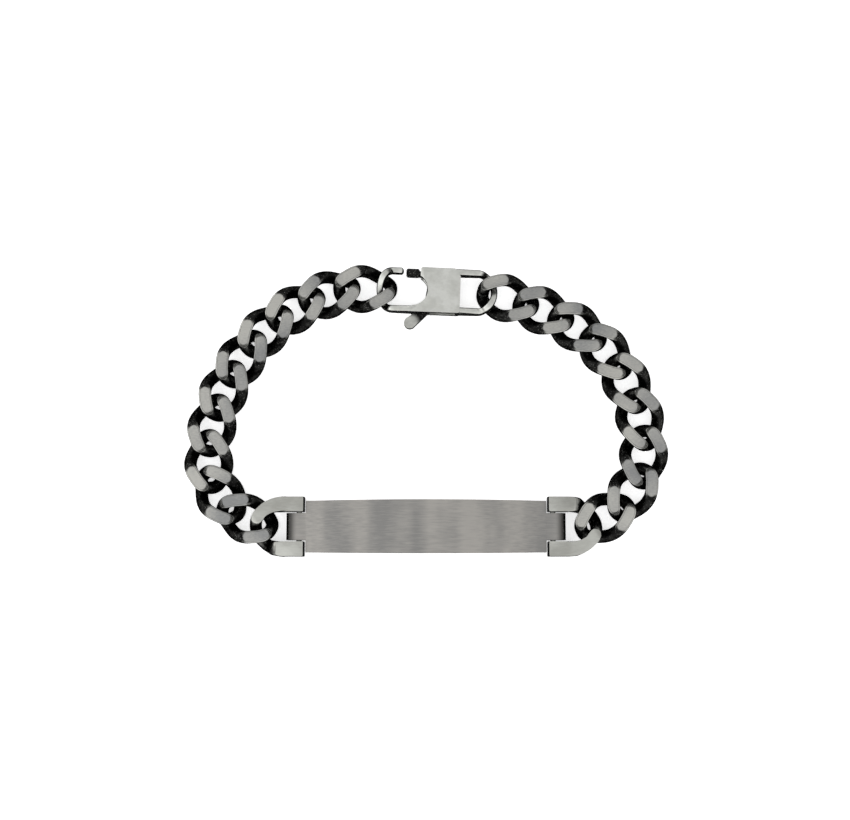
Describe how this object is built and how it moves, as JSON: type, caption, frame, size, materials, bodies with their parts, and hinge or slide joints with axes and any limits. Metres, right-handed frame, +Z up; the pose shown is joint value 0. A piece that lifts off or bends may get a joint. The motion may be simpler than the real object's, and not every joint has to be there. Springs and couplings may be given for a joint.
{
  "type": "id bracelet",
  "caption": "Id bracelet with an arched plain plate, blackened curb chain ground flat on its faces and a lobster clasp, lying closed.",
  "frame": {"origin": "centre of the bounding box, on the surface that the bracelet lies on", "axes": "+Z up from the surface, +X to the right along the plate, +Y from the plate to the clasp"},
  "size_m": [0.0896, 0.0546, 0.0044],
  "materials": {
    "plate_steel": "brushed along the plate",
    "bright_steel": "fine satin, ground flat",
    "lever_steel": "fine satin",
    "pin_steel": "drawn wire",
    "black_steel": "blackened wire, ground bright on the flat faces"
  },
  "bodies": {
    "bracelet": {"id_plate": "plate_steel", "connector_left": "bright_steel", "connector_right": "bright_steel", "pin_left": "pin_steel", "pin_right": "pin_steel", "link_left_01": "black_steel", "link_left_02": "black_steel", "link_left_03": "black_steel", "link_left_04": "black_steel", "link_left_05": "black_steel", "link_left_06": "black_steel", "link_left_07": "black_steel", "link_left_08": "black_steel", "link_left_09": "black_steel", "link_left_10": "black_steel", "link_right_01": "black_steel", "link_right_02": "black_steel", "link_right_03": "black_steel", "link_right_04": "black_steel", "link_right_05": "black_steel", "link_right_06": "black_steel", "link_right_07": "black_steel", "link_right_08": "black_steel", "link_right_09": "black_steel", "clasp_body": "bright_steel", "clasp_rivet": "pin_steel"},
    "lever": {"clasp_lever": "lever_steel"}
  },
  "joints": [
    {"name": "lever_pivot", "type": "hinge", "parent": "bracelet", "child": "lever", "pos_m": [0.00132, 0.02488, 0.00165], "axis": [0, 0, 1], "range_deg": [0, 36], "stiffness_Nm_per_rad": 0.01, "springref_deg": -11.46}
  ]
}
